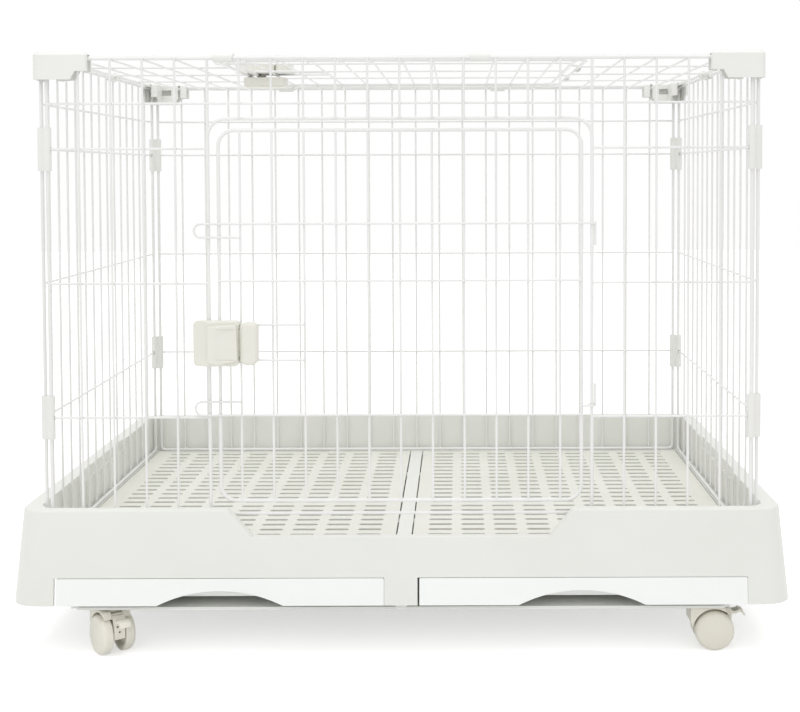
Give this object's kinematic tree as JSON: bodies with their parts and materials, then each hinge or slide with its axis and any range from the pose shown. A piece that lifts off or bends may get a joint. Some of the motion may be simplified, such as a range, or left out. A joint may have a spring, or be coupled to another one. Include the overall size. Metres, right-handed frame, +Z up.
{
  "type": "rabbit cage",
  "caption": "Wire rabbit cage with a hinged front door and roof hatch, on a moulded base with a slatted floor, pull-out litter drawers and swivel casters.",
  "frame": {"origin": "on the ground, under the middle of the object's bounding box", "axes": "+X to the right seen from the door, +Y to the back, +Z up; the door faces -Y"},
  "size_m": [0.842, 0.582, 0.669],
  "materials": {
    "coated_wire": "gloss white powder coat on steel wire",
    "trim_plastic": "satin white moulded plastic",
    "base_plastic": "satin pale grey moulded plastic",
    "grid_plastic": "satin pale grey moulded plastic",
    "drawer_plastic": "satin white moulded plastic",
    "caster_plastic": "satin cream moulded nylon",
    "steel": "bright zinc"
  },
  "bodies": {
    "cage": {"base_tray": "base_plastic", "bottom_plate": "base_plastic", "bottom_screws": "steel", "caster_sockets": "caster_plastic", "corner_block_front_left": "trim_plastic", "corner_block_front_right": "trim_plastic", "corner_block_rear_left": "trim_plastic", "corner_block_rear_right": "trim_plastic", "corner_clips_front_left": "trim_plastic", "corner_clips_front_right": "trim_plastic", "corner_clips_rear_left": "trim_plastic", "corner_clips_rear_right": "trim_plastic", "floor_grid_left": "grid_plastic", "floor_grid_right": "grid_plastic", "front_panel": "coated_wire", "left_panel": "coated_wire", "rear_panel": "coated_wire", "right_panel": "coated_wire", "roof_clips": "trim_plastic", "roof_panel": "coated_wire"},
    "door": {"front_door": "coated_wire", "door_latch_housing": "trim_plastic"},
    "door_latch_slide": {"door_latch_slide": "trim_plastic"},
    "hatch": {"roof_hatch": "coated_wire", "hatch_latch_housing": "trim_plastic"},
    "hatch_latch_slide": {"hatch_latch_slide": "trim_plastic"},
    "drawer_left": {"drawer_left": "drawer_plastic"},
    "drawer_right": {"drawer_right": "drawer_plastic"},
    "caster_front_left_fork": {"caster_front_left_hood": "caster_plastic", "caster_front_left_axle": "steel"},
    "caster_front_left_wheel_a": {"caster_front_left_wheel_a": "caster_plastic"},
    "caster_front_left_wheel_b": {"caster_front_left_wheel_b": "caster_plastic"},
    "caster_front_left_brake": {"caster_front_left_brake_lever": "caster_plastic"},
    "caster_front_right_fork": {"caster_front_right_hood": "caster_plastic", "caster_front_right_axle": "steel"},
    "caster_front_right_wheel_a": {"caster_front_right_wheel_a": "caster_plastic"},
    "caster_front_right_wheel_b": {"caster_front_right_wheel_b": "caster_plastic"},
    "caster_front_right_brake": {"caster_front_right_brake_lever": "caster_plastic"},
    "caster_rear_left_fork": {"caster_rear_left_hood": "caster_plastic", "caster_rear_left_axle": "steel"},
    "caster_rear_left_wheel_a": {"caster_rear_left_wheel_a": "caster_plastic"},
    "caster_rear_left_wheel_b": {"caster_rear_left_wheel_b": "caster_plastic"},
    "caster_rear_right_fork": {"caster_rear_right_hood": "caster_plastic", "caster_rear_right_axle": "steel"},
    "caster_rear_right_wheel_a": {"caster_rear_right_wheel_a": "caster_plastic"},
    "caster_rear_right_wheel_b": {"caster_rear_right_wheel_b": "caster_plastic"}
  },
  "joints": [
    {"name": "door_hinge", "type": "hinge", "parent": "cage", "child": "door", "pos_m": [0.207, -0.26, 0.365], "axis": [0, 0, 1], "range_deg": [0, 150]},
    {"name": "door_latch_travel", "type": "slide", "parent": "door", "child": "door_latch_slide", "axis": [1, 0, 0], "range_m": [0, 0.012]},
    {"name": "hatch_hinge", "type": "hinge", "parent": "cage", "child": "hatch", "pos_m": [0.207, 0, 0.646], "axis": [0, 1, 0], "range_deg": [0, 150]},
    {"name": "hatch_latch_travel", "type": "slide", "parent": "hatch", "child": "hatch_latch_slide", "axis": [1, 0, 0], "range_m": [0, 0.012]},
    {"name": "drawer_left_travel", "type": "slide", "parent": "cage", "child": "drawer_left", "axis": [0, -1, 0], "range_m": [0, 0.4]},
    {"name": "drawer_right_travel", "type": "slide", "parent": "cage", "child": "drawer_right", "axis": [0, -1, 0], "range_m": [0, 0.4]},
    {"name": "caster_front_left_swivel", "type": "hinge", "parent": "cage", "child": "caster_front_left_fork", "pos_m": [-0.325, -0.25, 0.05], "axis": [0, 0, 1], "continuous": true},
    {"name": "caster_front_left_wheel_a_spin", "type": "hinge", "parent": "caster_front_left_fork", "child": "caster_front_left_wheel_a", "pos_m": [-0.31552, -0.26214, 0.0214], "axis": [0.788, 0.6157, 0], "continuous": true},
    {"name": "caster_front_left_wheel_b_spin", "type": "hinge", "parent": "caster_front_left_fork", "child": "caster_front_left_wheel_b", "pos_m": [-0.31552, -0.26214, 0.0214], "axis": [0.788, 0.6157, 0], "continuous": true},
    {"name": "caster_front_left_brake_tilt", "type": "hinge", "parent": "caster_front_left_fork", "child": "caster_front_left_brake", "pos_m": [-0.30899, -0.27049, 0.0426], "axis": [0.788, 0.6157, 0], "range_deg": [0, 10]},
    {"name": "caster_front_right_swivel", "type": "hinge", "parent": "cage", "child": "caster_front_right_fork", "pos_m": [0.325, -0.25, 0.05], "axis": [0, 0, 1], "continuous": true},
    {"name": "caster_front_right_wheel_a_spin", "type": "hinge", "parent": "caster_front_right_fork", "child": "caster_front_right_wheel_a", "pos_m": [0.3404, -0.25, 0.0214], "axis": [0, 1, 0], "continuous": true},
    {"name": "caster_front_right_wheel_b_spin", "type": "hinge", "parent": "caster_front_right_fork", "child": "caster_front_right_wheel_b", "pos_m": [0.3404, -0.25, 0.0214], "axis": [0, 1, 0], "continuous": true},
    {"name": "caster_front_right_brake_tilt", "type": "hinge", "parent": "caster_front_right_fork", "child": "caster_front_right_brake", "pos_m": [0.351, -0.25, 0.0426], "axis": [0, 1, 0], "range_deg": [0, 10]},
    {"name": "caster_rear_left_swivel", "type": "hinge", "parent": "cage", "child": "caster_rear_left_fork", "pos_m": [-0.325, 0.24, 0.05], "axis": [0, 0, 1], "continuous": true},
    {"name": "caster_rear_left_wheel_a_spin", "type": "hinge", "parent": "caster_rear_left_fork", "child": "caster_rear_left_wheel_a", "pos_m": [-0.33947, 0.24527, 0.0214], "axis": [-0.342, -0.9397, 0], "continuous": true},
    {"name": "caster_rear_left_wheel_b_spin", "type": "hinge", "parent": "caster_rear_left_fork", "child": "caster_rear_left_wheel_b", "pos_m": [-0.33947, 0.24527, 0.0214], "axis": [-0.342, -0.9397, 0], "continuous": true},
    {"name": "caster_rear_right_swivel", "type": "hinge", "parent": "cage", "child": "caster_rear_right_fork", "pos_m": [0.325, 0.24, 0.05], "axis": [0, 0, 1], "continuous": true},
    {"name": "caster_rear_right_wheel_a_spin", "type": "hinge", "parent": "caster_rear_right_fork", "child": "caster_rear_right_wheel_a", "pos_m": [0.33761, 0.24883, 0.0214], "axis": [-0.5736, 0.8192, 0], "continuous": true},
    {"name": "caster_rear_right_wheel_b_spin", "type": "hinge", "parent": "caster_rear_right_fork", "child": "caster_rear_right_wheel_b", "pos_m": [0.33761, 0.24883, 0.0214], "axis": [-0.5736, 0.8192, 0], "continuous": true}
  ]
}
